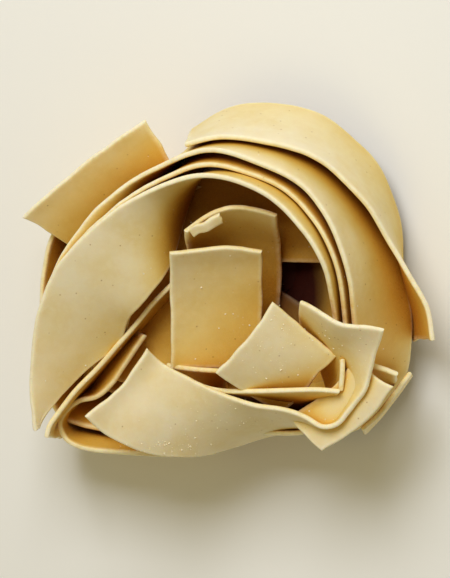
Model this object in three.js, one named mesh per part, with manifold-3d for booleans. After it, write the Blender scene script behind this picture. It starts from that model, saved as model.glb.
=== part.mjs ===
// A dried nest of broad, flat egg-pasta ribbons, in millimetres, +Z up, standing on its base.
// One closed solid: the upper coil of three turns, the loose ends and strips that lie in and on it,
// the lower coil that carries it and a low mound of crossed strips at the bottom.
//
// The upper ribbons are laid out as an eye sees them that looks down on the nest, 20 degrees off
// the vertical: u to the right, v up, w towards the eye. A station of a ribbon names a point of
// its front edge (the edge nearest the eye), or of its middle line on the two uprights, by u, v and
// its height above the base, and the lean of the ribbon there: 0 when it stands edge-on to the
// eye, +-90 when its face is flat to the eye.
import * as THREE from "three";
import { mergeVertices } from "three/addons/utils/BufferGeometryUtils.js";
import Module from "manifold-3d";

const wasm = await Module();
wasm.setup();

// ---- Sizes ----
const RIBBON_WIDTH = 20.5;
const RIBBON_THICKNESS = 1.3; // with the roughness of its faces
const RIM_HEIGHT = 36; // of the front edges of the upper coil
const TILT = THREE.MathUtils.degToRad(20); // between the eye's direction and the vertical
const TOWARDS = THREE.MathUtils.degToRad(30); // the side that the eye is on, from +X to +Y
const STIFFNESS = 4.5; // length over which a dried ribbon spreads a change of its lean
const STIFFNESS_REACH = 3; // times that length, beyond which a change has no effect
const TURN_STEP = 1; // between the worked-out stations of a closed turn
const COIL_ROW = 5.5; // length of one facet along a coil
const STRIP_ROW = 5; // length of one facet along a loose strip
const STRIP_COLUMNS = 3; // edge points across a strip
const CURVE_STEPS = 60; // rows worked out between two stations
const LEAN = 3; // the place of the lean in a station, after its point
const WELD = 1e-4; // corners closer than this are one

// The nest's own centre, so that it stands over the origin on z = 0.
const CENTRE_X = 10.46;
const CENTRE_Y = 3.8;

// ---- The upper coil, clockwise from its lower left corner ----
// u, v, depth below the rim, lean, gap to the 2nd turn, gap from the 2nd to the 3rd,
// and the angles by which the 2nd and the 3rd turn fan out from the innermost.
const UPPER_TURN = [
  [-40.4, -33, 3, -58, 1.4, 1.4, 0, 0],
  [-41.3, -28, 2.6, -62, 1.4, 1.4, 0, 0],
  [-41.5, -22, 2.2, -66, 1.4, 1.4, 0, 0],
  [-41.2, -15, 1.6, -70, 1.4, 1.4, 0, 0],
  [-40, -7.5, 1, -73, 1.4, 1.4, 0, 0],
  [-35.8, 3.3, 0, -75, 1.4, 1.4, 0, 0],
  [-25.4, 14.3, 0, -72, 1.4, 2.2, 3, 5],
  [-15.5, 20.5, 0, -48, 1.7, 3.2, 24, 27],
  [-5, 23.4, 0, -12, 2.3, 3, 32, 23],
  [5, 22.7, 0, 8, 2.6, 3.2, 18, 19],
  [15.3, 16.4, 0, 14, 3.1, 3.6, 14, 15],
  [22.8, 4.6, 1, 25, 2.8, 3, 9, 13],
  [26.2, -9, 6.5, 30, 2.2, 2.2, 7, 10],
  [26.4, -20, 9, 28, 1.6, 2, 6, 8],
  [25, -26, 11, 17, 1.4, 1.6, 4, 6],
  [20, -29.6, 12, -2, 1.3, 1.4, 2, 3],
  [8, -30.2, 12.5, -20, 1.3, 1.4, 0, 0],
  [-8, -31, 12, -24, 1.3, 1.4, 0, 0],
  [-22, -34, 9, -30, 1.3, 1.4, 0, 0],
  [-34.5, -36, 5, -45, 1.4, 1.4, 0, 0],
];

// Its turns from the inside out: the u, v nearest to where each starts and ends, how far it is slid
// along its width near points u, v, and the length over which its start was cut slantwise to a
// point.
const UPPER_TURNS = [
  { start: [-40.4, -33], end: [27.3, -13], slides: [[-40, -7.5, 0]], slant: 23.5 },
  {
    start: [-41, -12],
    end: [27.4, -17],
    slides: [
      [-40, -7.5, 0.8],
      [-25.4, 14.3, 0],
    ],
    slant: 0,
  },
  {
    start: [-41, -12],
    end: [-2, -33.6],
    slides: [
      [-40, -7.5, 0.8],
      [-35.8, 3.3, 0.3],
      [-25.4, 14.3, -2],
      [-15.5, 20.5, -1.2],
      [-5, 23.6, 0],
    ],
    slant: 0,
  },
];
const POINT = 1.5; // length that is left where a slanting cut ends
// Between the turns the coil is closed, over this part of the turn and from this far below their
// front edges down.
const CLOSED_TURN = { start: [-41, -12], end: [27.3, -13], slides: [[-40, -7.5, 0]], slant: 0 };
const GAP_DEPTH = 5;

// ---- The lower coil, a bowl: x, y of its upper edge and its lean from the vertical ----
const LOWER_TURN = [
  [-33.5, -28, -30],
  [-37, -13, -24],
  [-36.5, 2, -18],
  [-33, 15, -16],
  [-24.5, 25, -16],
  [-13, 31, -24],
  [0, 33, -34],
  [12, 34, -40],
  [24, 33, -42],
  [34.5, 27.5, -42],
  [42, 18.5, -40],
  [46, 6, -38],
  [46.5, -7, -38],
  [43, -19, -42],
  [34, -27, -44],
  [22, -30.5, -44],
  [8, -31.5, -32],
  [-6, -32, -28],
  [-20, -32, -30],
];
const LOWER_WALL = 6.5; // thickness of the bowl of three turns
const MOUND_HEIGHT = 18; // of the crossed strips that fill the bottom of the bowl
const PIT = { x: 25.2, y: 8.5, radius: 7, bottom: 12 }; // the deep hollow beside the uprights
const PIT_SIDES = 12;

// ---- The loose strips: u, v, height of the station, lean ----
// station is where across the ribbon the stations lie: 0, the default, on its front edge, 0.5 on
// its middle line.
// bow is how far the middle of the ribbon stands off the line between its two edges, at even steps
// from its start to its end.
// A strip that split along its length has a width of its own.
const STRIPS = {
  outer_wrap_right: {
    stations: [
      [-6.8, 30.6, 32, 8],
      [3, 32.3, 31, 20],
      [14.3, 30.6, 30, 28],
      [24.6, 25.6, 28, 28],
      [32.9, 17.7, 26.5, 20],
      [38.6, 8.4, 24.5, 8],
      [42.7, 1, 24.5, -6],
      [46.3, -5.8, 25, -10],
      [47.6, -12.2, 25.5, -9],
    ],
  },
  outer_wrap_left: {
    stations: [
      [-43.5, 15, 27, -62],
      [-37, 20.6, 28, -62],
      [-26.5, 29.3, 28, -62],
      [-15.5, 36.6, 28, -60],
    ],
  },
  front_band: {
    bow: [0.5, 0, 0, 0, 0, 1, 3],
    stations: [
      [-15.2, -14.2, 36.5, -88],
      [-12.6, -16.8, 34.6, -87],
      [-7.6, -19.6, 34.6, -76],
      [-0.7, -22.9, 35.2, -54],
      [7.6, -25.8, 35.6, -32],
      [14.2, -27.8, 35.4, -17],
      [19.5, -29.8, 35.2, -8],
      [23.5, -31.3, 35, -3],
      [26.6, -30.4, 35, 2],
      [28.6, -28, 35, 8],
      [30.4, -25.6, 35, 18],
      [32.4, -22.8, 35, 30],
      [34, -18.6, 35.2, 43],
      [35.2, -14.6, 36, 58],
      [36.9, -9.6, 38, 75],
    ],
  },
  upright_front: {
    station: 0.5,
    bow: [-0.9, -0.3],
    stations: [
      [0.1, 7.7, 34, 89],
      [0.1, 3.5, 30.5, 88],
      [0.1, -4, 27, 87],
      [0.1, -12, 25, 84],
      [0.1, -19, 24, 80],
    ],
  },
  upright_back: {
    station: 0.5,
    bow: [-4.2, -2, -0.5],
    stations: [
      [3.2, 13.4, 32, 89],
      [3.7, 10.2, 26.5, 88],
      [4.2, 6.8, 21, 88],
      [4.4, 2, 16, 88],
      [4, -8, 12, 88],
    ],
  },
  tip_strip: {
    bow: [-1, -1],
    stations: [
      [12.5, -3.9, 37.6, -78],
      [15.5, -6.3, 36.2, -73],
      [20.5, -10.6, 34, -66],
      [26.5, -15.6, 31.4, -60],
    ],
  },
  edge_strip: {
    stations: [
      [-4, -22, 33, -14],
      [0.5, -22.9, 34.5, -18],
      [10, -23.2, 35.5, -20],
      [20, -23.6, 35.5, -18],
      [27.4, -23.2, 35, -10],
    ],
  },
  low_strip: {
    width: 10.5,
    bow: [-0.8, -0.8],
    stations: [
      [39, -22.4, 32, -78],
      [36.6, -25.6, 32, -80],
      [34, -29, 32, -80],
      [29, -33.2, 32, -80],
      [22.9, -37.3, 32, -80],
    ],
  },
  corner_strip: {
    width: 12,
    stations: [
      [42.8, -19.4, 24, 2],
      [40.6, -22.3, 25, 4],
      [38, -25.6, 26, 5],
      [35.6, -28.6, 26, 6],
      [32, -32, 25, 8],
    ],
  },
  inner_fold_1: {
    stations: [
      [-38.3, -34.4, 30.5, -8],
      [-37.7, -31.6, 30, -8],
      [-33.4, -26.3, 28, -8],
      [-26.8, -18.9, 26, -8],
      [-20, -11.3, 25.4, -8],
      [-11.7, -2.1, 25.4, -8],
      [-8, 2, 25, -8],
    ],
  },
  inner_fold_2: {
    stations: [
      [-16, -11.4, 22, -24],
      [-18, -14.3, 22, -30],
      [-20.4, -18, 22, -34],
      [-23.6, -22, 22.2, -32],
      [-27, -24.8, 22.6, -22],
      [-31, -25.9, 23, -4],
      [-34, -28.3, 23.4, 10],
      [-35.5, -31.6, 23.6, 20],
      [-34.2, -34.8, 23.6, 25],
      [-31, -36.6, 23.4, 26],
      [-25, -37.8, 23, 24],
      [-12, -38.4, 22, 14],
      [0, -37.4, 21.5, 8],
    ],
  },
};

// ---- Frames ----
const EYE_FRAME = new THREE.Matrix4()
  .makeRotationZ(TOWARDS)
  .multiply(new THREE.Matrix4().makeRotationY(TILT))
  .multiply(new THREE.Matrix4().makeRotationZ(-TOWARDS));
const WORLD_FRAME = new THREE.Matrix4();

// The distance w towards the eye of a point at u, v that stands `height` over the base.
function towardsEye(u, v, height) {
  const sideways = u * Math.cos(TOWARDS) + v * Math.sin(TOWARDS);
  return (height + Math.sin(TILT) * sideways) / Math.cos(TILT);
}

// ---- Curves through stations, a station being an array of numbers that starts with a point ----
function distance(a, b) {
  return Math.hypot(a[0] - b[0], a[1] - b[1], a[2] - b[2]);
}

function mixRows(a, b, share) {
  return a.map((value, k) => value + (b[k] - value) * share);
}

// A centripetal Catmull-Rom curve through the stations, `steps` rows to each span.
function smoothCurve(stations, steps, closed = false) {
  const count = stations.length;
  const first = mixRows(stations[1], stations[0], 2);
  const last = mixRows(stations[count - 2], stations[count - 1], 2);
  const points = closed
    ? [stations[count - 1], ...stations, stations[0], stations[1]]
    : [first, ...stations, last];
  const knots = [0];
  for (let i = 1; i < points.length; i += 1) {
    knots.push(knots[i - 1] + Math.sqrt(distance(points[i - 1], points[i])));
  }
  const rows = [];
  for (let span = 1; span < points.length - 2; span += 1) {
    for (let step = 0; step < steps; step += 1) {
      rows.push(spanPoint(points, knots, span, step / steps));
    }
  }
  rows.push(spanPoint(points, knots, points.length - 3, 1));
  return rows;
}

function spanPoint(points, knots, span, share) {
  const [p0, p1, p2, p3] = points.slice(span - 1, span + 3);
  const [t0, t1, t2, t3] = knots.slice(span - 1, span + 3);
  const t = t1 + (t2 - t1) * share;
  const a1 = mixRows(p0, p1, (t - t0) / (t1 - t0));
  const a2 = mixRows(p1, p2, (t - t1) / (t2 - t1));
  const a3 = mixRows(p2, p3, (t - t2) / (t3 - t2));
  const b1 = mixRows(a1, a2, (t - t0) / (t2 - t0));
  const b2 = mixRows(a2, a3, (t - t1) / (t3 - t1));
  return mixRows(b1, b2, (t - t1) / (t2 - t1));
}

// The same curve in rows of equal length.
function evenRows(rows, step) {
  const lengths = [0];
  for (let i = 1; i < rows.length; i += 1) {
    lengths.push(lengths[i - 1] + distance(rows[i - 1], rows[i]));
  }
  const total = lengths[rows.length - 1];
  const count = Math.round(total / step);
  const even = [];
  let i = 0;
  for (let k = 0; k <= count; k += 1) {
    const at = (total * k) / count;
    while (i < rows.length - 2 && lengths[i + 1] < at) {
      i += 1;
    }
    even.push(mixRows(rows[i], rows[i + 1], (at - lengths[i]) / (lengths[i + 1] - lengths[i])));
  }
  return even;
}

// ---- The directions of a ribbon: across its width and out of its face ----
// across runs from the front edge to the back edge. It leans from straight away from the eye
// towards the left of the way the ribbon runs.
function ribbonFrames(rows, step, closed) {
  const count = rows.length;
  const pick = (i) => (closed ? (i + count) % count : THREE.MathUtils.clamp(i, 0, count - 1));
  const along = rows.map((row, i) => {
    const before = rows[pick(i - 1)];
    const after = rows[pick(i + 1)];
    return new THREE.Vector3(after[0] - before[0], after[1] - before[1], after[2] - before[2])
      .normalize();
  });
  const leaning = rows.map((row, i) => {
    const lean = THREE.MathUtils.degToRad(row[LEAN]);
    const left = new THREE.Vector3(-along[i].y, along[i].x, 0).normalize();
    return left.multiplyScalar(Math.sin(lean)).setZ(-Math.cos(lean));
  });
  const reach = Math.ceil((STIFFNESS_REACH * STIFFNESS) / step);
  const across = leaning.map((row, i) => {
    const sum = new THREE.Vector3();
    for (let k = -reach; k <= reach; k += 1) {
      const weight = Math.exp(-0.5 * ((k * step) / STIFFNESS) ** 2);
      sum.addScaledVector(leaning[pick(i + k)], weight);
    }
    return sum.normalize();
  });
  const out = along.map((direction, i) => direction.clone().cross(across[i]).normalize());
  return { across, out };
}

// ---- Surfaces: rows of points across the ribbon ----
// place(i, share) gives the point of row i at that share of the width, with its outward direction.
function surface(rowCount, columns, place) {
  const grid = [];
  for (let i = 0; i < rowCount; i += 1) {
    const row = [];
    for (let j = 0; j < columns; j += 1) {
      row.push(place(i, j / (columns - 1)));
    }
    grid.push(row);
  }
  return grid;
}

// The value at a share of the way through values that stand at even steps.
function valueAt(values, share) {
  const place = share * (values.length - 1);
  const before = Math.min(Math.floor(place), values.length - 2);
  return THREE.MathUtils.lerp(values[before], values[before + 1], place - before);
}

function stripSurface({ stations, width = RIBBON_WIDTH, station = 0, bow = [0, 0] }) {
  const placed = stations.map(([u, v, height, lean]) => [u, v, towardsEye(u, v, height), lean]);
  const rows = evenRows(smoothCurve(placed, CURVE_STEPS), STRIP_ROW);
  const { across, out } = ribbonFrames(rows, STRIP_ROW, false);
  return surface(rows.length, STRIP_COLUMNS, (i, share) => {
    const arch = valueAt(bow, i / (rows.length - 1)) * (1 - (2 * share - 1) ** 2);
    return {
      point: new THREE.Vector3(rows[i][0], rows[i][1], rows[i][2])
        .addScaledVector(across[i], width * (share - station))
        .addScaledVector(out[i], arch),
      out: out[i],
    };
  });
}

// A closed turn, worked out once, from which each turn of a coil is offset.
function closedTurn(stations) {
  const rows = evenRows(smoothCurve(stations, CURVE_STEPS, true), TURN_STEP).slice(0, -1);
  return { rows, ...ribbonFrames(rows, TURN_STEP, true) };
}

function alongTurn(turn, share) {
  const at = THREE.MathUtils.euclideanModulo(share, 1) * turn.rows.length;
  const i = Math.floor(at) % turn.rows.length;
  const j = (i + 1) % turn.rows.length;
  const part = at - Math.floor(at);
  return {
    row: mixRows(turn.rows[i], turn.rows[j], part),
    across: turn.across[i].clone().lerp(turn.across[j], part).normalize(),
    out: turn.out[i].clone().lerp(turn.out[j], part).normalize(),
  };
}

// The share of the turn at which it passes nearest to u, v.
function shareAt(turn, u, v) {
  const away = turn.rows.map((row) => Math.hypot(row[0] - u, row[1] - v));
  return away.indexOf(Math.min(...away)) / turn.rows.length;
}

// How far a ribbon is slid along its width at a share of the turn, from slides at shares of it.
function slideAt(slides, share) {
  const next = slides.findIndex(([place]) => place > share);
  if (next < 1) {
    const [, amount] = slides.at(next === 0 ? 0 : -1);
    return amount;
  }
  const [[from, before], [to, after]] = slides.slice(next - 1, next + 1);
  return THREE.MathUtils.mapLinear(share, from, to, before, after);
}

// One turn of the upper coil: 0 is the innermost, 2 the outermost.
function upperLayer(turn, layer, { start, end, slides, slant }) {
  const [from, to] = [shareAt(turn, ...start), shareAt(turn, ...end)];
  const placed = slides.map(([u, v, amount]) => [shareAt(turn, u, v), amount]);
  const length = (to - from) * turn.rows.length * TURN_STEP;
  const count = Math.ceil(length / COIL_ROW);
  return surface(count + 1, STRIP_COLUMNS, (i, share) => {
    const reached = THREE.MathUtils.lerp(from, to, i / count);
    const at = alongTurn(turn, reached);
    const [u, v, w, , firstGap, secondGap, ...fans] = at.row;
    const offset = Math.min(layer, 1) * firstGap + Math.max(layer - 1, 0) * secondGap;
    const fan = THREE.MathUtils.degToRad([0, ...fans][layer]);
    const left = ((length * i) / count + POINT) / (slant + POINT);
    const width = RIBBON_WIDTH * Math.min(left, 1);
    return {
      point: new THREE.Vector3(u, v, w)
        .addScaledVector(at.across, width * share + slideAt(placed, reached))
        .addScaledVector(at.out, offset + RIBBON_WIDTH * Math.sin(fan) * share),
      out: at.out,
    };
  });
}

// The outer face of the lower coil's bowl. Its lower edge is on the base.
function lowerWall(turn) {
  const count = Math.ceil((turn.rows.length * TURN_STEP) / COIL_ROW);
  return surface(count + 1, STRIP_COLUMNS, (i, share) => {
    const at = alongTurn(turn, i / count);
    const [x, y, z] = at.row;
    return {
      point: new THREE.Vector3(x, y, z).addScaledVector(at.across, RIBBON_WIDTH * share),
      out: at.out,
    };
  });
}

// ---- Solids ----
// A closed solid from the points of its two faces, row by row. In a ring the last row of each
// face is the first one again, and the solid has no ends.
function solidBetween(outer, inner, frame, ring = false) {
  const rows = outer.length - (ring ? 1 : 0);
  const columns = outer[0].length;
  const positions = [];
  for (const face of [outer, inner]) {
    for (const row of face.slice(0, rows)) {
      for (const point of row) {
        const placed = point.clone().applyMatrix4(frame);
        positions.push(placed.x, placed.y, placed.z);
      }
    }
  }
  const innerStart = rows * columns;
  const corner = (i, j) => (i % rows) * columns + j;
  const indices = [];
  const quad = (a, b, c, d) => indices.push(a, b, c, a, c, d);
  const spans = ring ? rows : rows - 1;
  for (let i = 0; i < spans; i += 1) {
    for (let j = 0; j < columns - 1; j += 1) {
      const [a, b, c, d] = [corner(i, j), corner(i + 1, j), corner(i + 1, j + 1), corner(i, j + 1)];
      quad(a, b, c, d);
      quad(innerStart + d, innerStart + c, innerStart + b, innerStart + a);
    }
    for (const j of [0, columns - 1]) {
      const [a, b] = j === 0 ? [corner(i, j), corner(i + 1, j)] : [corner(i + 1, j), corner(i, j)];
      quad(a, innerStart + a, innerStart + b, b);
    }
  }
  if (!ring) {
    for (let j = 0; j < columns - 1; j += 1) {
      const [a, b] = [corner(0, j), corner(0, j + 1)];
      const [c, d] = [corner(rows - 1, j), corner(rows - 1, j + 1)];
      quad(a, b, innerStart + b, innerStart + a);
      quad(d, c, innerStart + c, innerStart + d);
    }
  }
  return solidOf(positions, indices);
}

function solidOf(positions, indices) {
  const geometry = new THREE.BufferGeometry();
  geometry.setAttribute("position", new THREE.Float32BufferAttribute(positions, 3));
  geometry.setIndex(indices);
  const merged = mergeVertices(geometry, WELD);
  const vertProperties = merged.attributes.position.array;
  const made = new wasm.Manifold(
    new wasm.Mesh({ numProp: 3, vertProperties, triVerts: new Uint32Array(merged.index.array) }),
  );
  if (made.volume() > 0) {
    return made;
  }
  const turned = Uint32Array.from(merged.index.array).reverse();
  return new wasm.Manifold(new wasm.Mesh({ numProp: 3, vertProperties, triVerts: turned }));
}

function pushed(grid, shift) {
  return grid.map((row) => row.map(({ point, out }) => point.clone().addScaledVector(out, shift)));
}

function sheet(grid, frame, thickness = RIBBON_THICKNESS) {
  return solidBetween(pushed(grid, thickness / 2), pushed(grid, -thickness / 2), frame);
}

// A column with a flat top and bottom over the outline of the given points.
function column(outline, bottom, top) {
  const flat = outline.map((point) => new THREE.Vector2(point.x, point.y));
  if (THREE.ShapeUtils.isClockWise(flat)) {
    flat.reverse();
  }
  const faces = THREE.ShapeUtils.triangulateShape(flat, []);
  const count = flat.length;
  const positions = [];
  for (const z of [bottom, top]) {
    for (const point of flat) {
      positions.push(point.x, point.y, z);
    }
  }
  const indices = [];
  for (const [a, b, c] of faces) {
    indices.push(c, b, a, a + count, b + count, c + count);
  }
  for (let i = 0; i < count; i += 1) {
    const j = (i + 1) % count;
    indices.push(i, j, j + count, i, j + count, i + count);
  }
  return solidOf(positions, indices);
}

// ---- The nest ----
const upperTurn = closedTurn(
  UPPER_TURN.map(([u, v, below, ...rest]) => [u, v, towardsEye(u, v, RIM_HEIGHT - below), ...rest]),
);
const lowerTurn = closedTurn(
  LOWER_TURN.map(([x, y, lean]) => {
    const height = RIBBON_WIDTH * Math.cos(THREE.MathUtils.degToRad(lean));
    return [x, y, height, lean];
  }),
);

const solids = UPPER_TURNS.map((facts, layer) =>
  sheet(upperLayer(upperTurn, layer, facts), EYE_FRAME),
);
for (const strip of Object.values(STRIPS)) {
  solids.push(sheet(stripSurface(strip), EYE_FRAME));
}

// Between the turns the coil is closed, from a little below their front edges down.
const [wallOuter, wallInner] = [2, 0].map((layer) =>
  upperLayer(upperTurn, layer, CLOSED_TURN).map(([front, , back]) => [
    front.point.clone().lerp(back.point, GAP_DEPTH / RIBBON_WIDTH),
    back.point,
  ]),
);
solids.push(solidBetween(wallOuter, wallInner, EYE_FRAME));

const bowl = lowerWall(lowerTurn);
const bowlOuter = pushed(bowl, 0);
solids.push(solidBetween(bowlOuter, pushed(bowl, -LOWER_WALL), WORLD_FRAME, true));
const foot = bowlOuter.slice(0, -1).map((row) => row[row.length - 1]);
const pitOutline = Array.from({ length: PIT_SIDES }, (_, i) => {
  const angle = (2 * Math.PI * i) / PIT_SIDES;
  const [x, y] = [PIT.x + PIT.radius * Math.cos(angle), PIT.y + PIT.radius * Math.sin(angle)];
  return new THREE.Vector2(x, y);
});
const pit = column(pitOutline, PIT.bottom, RIM_HEIGHT);
solids.push(column(foot, 0, MOUND_HEIGHT).subtract(pit));

let heap = solids[0];
for (const solid of solids.slice(1)) {
  heap = heap.add(solid);
}

// Whatever would reach below the base is cut off flat, and the small pockets that strips close
// between them are solid.
const FAR = 80; // past the nest's edge on every side
const ground = [
  new THREE.Vector2(-FAR, -FAR),
  new THREE.Vector2(FAR, -FAR),
  new THREE.Vector2(FAR, FAR),
  new THREE.Vector2(-FAR, FAR),
];
const below = column(ground, -MOUND_HEIGHT, 0);
const nest = heap
  .subtract(below)
  .decompose()
  .reduce((largest, body) => (body.volume() > largest.volume() ? body : largest));

const geometry = new THREE.BufferGeometry();
const mesh = nest.getMesh();
geometry.setAttribute("position", new THREE.BufferAttribute(mesh.vertProperties, mesh.numProp));
geometry.setIndex(new THREE.BufferAttribute(mesh.triVerts, 1));
geometry.translate(-CENTRE_X, -CENTRE_Y, 0);

const material = new THREE.MeshStandardMaterial({ color: 0xe8dcc0, roughness: 0.8 });
const pastaNest = new THREE.Mesh(geometry, material);
pastaNest.name = "pasta_nest";

const group = new THREE.Group();
group.add(pastaNest);
export default group;
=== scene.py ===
"""A dried nest of broad, flat egg-pasta ribbons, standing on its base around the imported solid.

The upper ribbons are laid out as an eye sees them that looks down on the nest, 20 degrees off the
vertical: u to the right, v up and w towards the eye, in millimetres. A station of a ribbon names a
point by u, v and its height above the base, and the lean of the ribbon there: 0 when it stands
edge-on to the eye, +-90 when its face is flat to the eye.
"""

import itertools
import math

import bpy
import numpy as np
from mathutils import Matrix, Vector


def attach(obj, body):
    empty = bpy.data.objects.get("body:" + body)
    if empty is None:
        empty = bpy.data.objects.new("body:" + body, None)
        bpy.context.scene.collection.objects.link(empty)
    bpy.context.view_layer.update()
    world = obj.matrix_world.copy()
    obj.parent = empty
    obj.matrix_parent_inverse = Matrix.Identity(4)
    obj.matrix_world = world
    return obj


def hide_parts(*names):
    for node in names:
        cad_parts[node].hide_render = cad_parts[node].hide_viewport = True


bl_info = {
    "name": "Dry Pasta Nest",
    "version": (1, 0, 0),
    "blender": (4, 5, 0),
    "location": "View3D > Sidebar > Pasta Nest",
    "description": "Builds a dried nest of broad egg-pasta ribbons",
    "category": "Object",
}

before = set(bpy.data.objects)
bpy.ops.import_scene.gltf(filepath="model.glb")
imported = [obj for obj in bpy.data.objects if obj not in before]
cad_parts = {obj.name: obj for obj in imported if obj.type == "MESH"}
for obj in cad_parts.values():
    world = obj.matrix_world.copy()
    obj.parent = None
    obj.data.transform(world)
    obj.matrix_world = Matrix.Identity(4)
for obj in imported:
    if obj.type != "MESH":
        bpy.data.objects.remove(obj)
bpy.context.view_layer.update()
NODE = "pasta_nest"

MM = 0.001
TILT = math.radians(20)  # between the eye's direction and the vertical
TOWARDS = math.radians(30)  # the side that the eye is on, from +X to +Y
RIM_HEIGHT = 36.0  # of the front edges of the upper coil
NEST_CENTRE = (10.46, 3.8, 0.0)  # of the stations' own world, so that the nest stands over 0, 0
STIFFNESS = 4.5  # length over which a dried ribbon spreads a change of its lean
STIFFNESS_REACH = 3  # times that length, beyond which a change has no effect
LEAN = 3  # the place of the lean in a row, after its point
CURVE_STEPS = 60  # rows worked out for each station of a loose ribbon
TURN_ROWS = 4000  # rows worked out for a closed turn
BOTTOM_ROWS = 200  # rows worked out for a strip at the bottom
PROFILE_ROWS = 400  # places worked out for an outline or a bow
FINE_STEP = 0.5  # between the rows of a ribbon's line
ROW_STEP = 0.8  # between the rows of its mesh
COLUMN_STEP = 1.1  # between the columns of its mesh
FEWEST_STEPS = 2  # between the rims of the narrowest piece
RIM_STEPS = (0.0, 0.05, 0.16, 0.34, 0.62, 1.1)  # distances of the rows next to a rounded edge
EDGE_RADIUS = 0.5  # of the rounded edges
EDGE_BLUNTNESS = (2.6, 2.2)  # powers of the rounded edge's outline; 2 and 2 are a quarter circle
EDGE_REACH = 1.6  # how far into the ribbon an edge's wandering is felt
END_REACH = 6.0  # how far into the ribbon a cut end's outline is felt
POINT = 1.5  # length that is left where a slanting cut ends

# How the dried dough warps and how its cuts wander, as smooth waves of these lengths.
WAVE_LENGTHS = {"face": 34.0, "flutter": 18.0, "edge": 8.0, "nick": 3.0}
WAVE_COUNT = 14  # sine waves in a sum
WAVE_SPREAD = (0.7, 1.5)  # times that length, from the shortest to the longest of them
WARP_SHARES = {"face": 0.55, "flutter": 0.75}  # of the warp
FLUTTER_POWER = 3  # how much the flutter keeps to the edges
SIDE_NICKS = 0.3  # of the nicks in the cut edges, against their slow wandering
END_WANDER = {"edge": 0.14, "nick": 0.05}  # of the broken ends, in mm
TINY = 1e-12  # keeps a vector without a length from being divided by 0

# ---- The upper coil, clockwise from its lower left corner ----
# u, v, depth below the rim, lean, gap to the 2nd turn, gap from the 2nd to the 3rd,
# and the angles by which the 2nd and the 3rd turn fan out from the innermost.
UPPER_TURN = [
    (-40.4, -33, 3, -58, 1.4, 1.4, 0, 0),
    (-41.3, -28, 2.6, -62, 1.4, 1.4, 0, 0),
    (-41.5, -22, 2.2, -66, 1.4, 1.4, 0, 0),
    (-41.2, -15, 1.6, -70, 1.4, 1.4, 0, 0),
    (-40, -7.5, 1, -73, 1.4, 1.4, 0, 0),
    (-35.8, 3.3, 0, -75, 1.4, 1.4, 0, 0),
    (-25.4, 14.3, 0, -72, 1.4, 2.2, 3, 5),
    (-15.5, 20.5, 0, -48, 1.7, 3.0, 24, 27),
    (-5, 23.4, 0, -12, 2.4, 3, 32, 26),
    (5, 22.7, 0, 8, 2.4, 3, 18, 21),
    (15.3, 16.4, 0, 14, 2.4, 3.3, 14, 18),
    (22.8, 4.6, 1, 25, 1.9, 2.5, 9, 12),
    (26.2, -9, 6.5, 30, 2, 2.2, 7, 9.5),
    (26.4, -20, 9, 28, 1.6, 2, 6, 8),
    (25, -26, 11, 17, 1.4, 1.6, 4, 6),
    (20, -29.6, 12, -2, 1.3, 1.4, 2, 3),
    (8, -30.2, 12.5, -20, 1.3, 1.4, 0, 0),
    (-8, -31, 12, -24, 1.3, 1.4, 0, 0),
    (-22, -34, 9, -30, 1.3, 1.4, 0, 0),
    (-34.5, -36, 5, -45, 1.4, 1.4, 0, 0),
]

# For each turn: its place from the inside out, the u, v nearest to its start and its end, how far
# it is slid along its width at points of the turn, and the length over which its start was cut
# slantwise to a point. The innermost also has a fan of its own at points of the turn.
UPPER_RIBBONS = {
    "coil_inner": {
        "layer": 0,
        "ends": ((-40.4, -33), (27.3, -13)),
        "slides": [((-40, -7.5), 0)],
        "slant": 23.5,
        "fan": [
            ((-25.4, 14.3), 0),
            ((-15.5, 20.5), 0),
            ((-5, 23.4), 12),
            ((5, 22.7), 17),
            ((15.3, 16.4), 14),
            ((22.8, 4.6), 5),
            ((26.2, -9), 0),
        ],
    },
    "coil_middle": {
        "layer": 1,
        "ends": ((-41, -12), (27.4, -17)),
        "slides": [
            ((-40, -7.5), 0.8),
            ((-25.4, 14.3), 0),
            ((-15.5, 20.5), 0),
            ((-5, 23.4), 1.5),
            ((5, 22.7), 2.6),
            ((15.3, 16.4), 3.2),
            ((22.8, 4.6), 2.4),
            ((26.2, -9), 0.6),
        ],
        "slant": 0,
    },
    "coil_outer": {
        "layer": 2,
        "ends": ((-41, -12), (-2, -33.6)),
        "slides": [
            ((-40, -7.5), 0.8),
            ((-35.8, 3.3), 0.3),
            ((-25.4, 14.3), -2),
            ((-15.5, 20.5), -1.2),
            ((-5, 23.4), 0.6),
            ((5, 22.7), 1.2),
            ((15.3, 16.4), 2),
            ((22.8, 4.6), 1.8),
            ((26.2, -9), 0.8),
            ((25, -26), 0),
        ],
        "slant": 0,
    },
}
LAST_STRETCH = (0.8, 0.9, 1.6)  # between these shares of the turn, it spreads by this much

# ---- The lower coil, a bowl: x, y of its upper edge and its lean from the vertical ----
LOWER_TURN = [
    (-33.5, -28, -30),
    (-37, -13, -24),
    (-36.5, 2, -18),
    (-33, 15, -16),
    (-24.5, 25, -16),
    (-13, 31, -24),
    (0, 33, -34),
    (12, 34, -40),
    (24, 33, -42),
    (34.5, 27.5, -42),
    (42, 18.5, -40),
    (46, 6, -38),
    (46.5, -7, -38),
    (43, -19, -42),
    (34, -27, -44),
    (22, -30.5, -44),
    (8, -31.5, -32),
    (-6, -32, -28),
    (-20, -32, -30),
]
LOWER_MIDDLE = (6, 0)  # about which the smaller coil is drawn in
LOWER_LIFT = 0.4  # over the base, for the ribbons' uneven edges
LOWER_INSET = 0.6  # of the first turn's middle surface
LOWER_GAP = 2.2  # from one turn of the lower coil to the next
# For each coil: its size against that turn, where it starts, how many turns it makes, and how
# much further its ribbon leans in.
LOWER_COILS = {
    "lower_coil": (1, 0.62, 1.3, 0),
    "bottom_coil": (0.8, 0.1, 1.7, -30),
}

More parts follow.
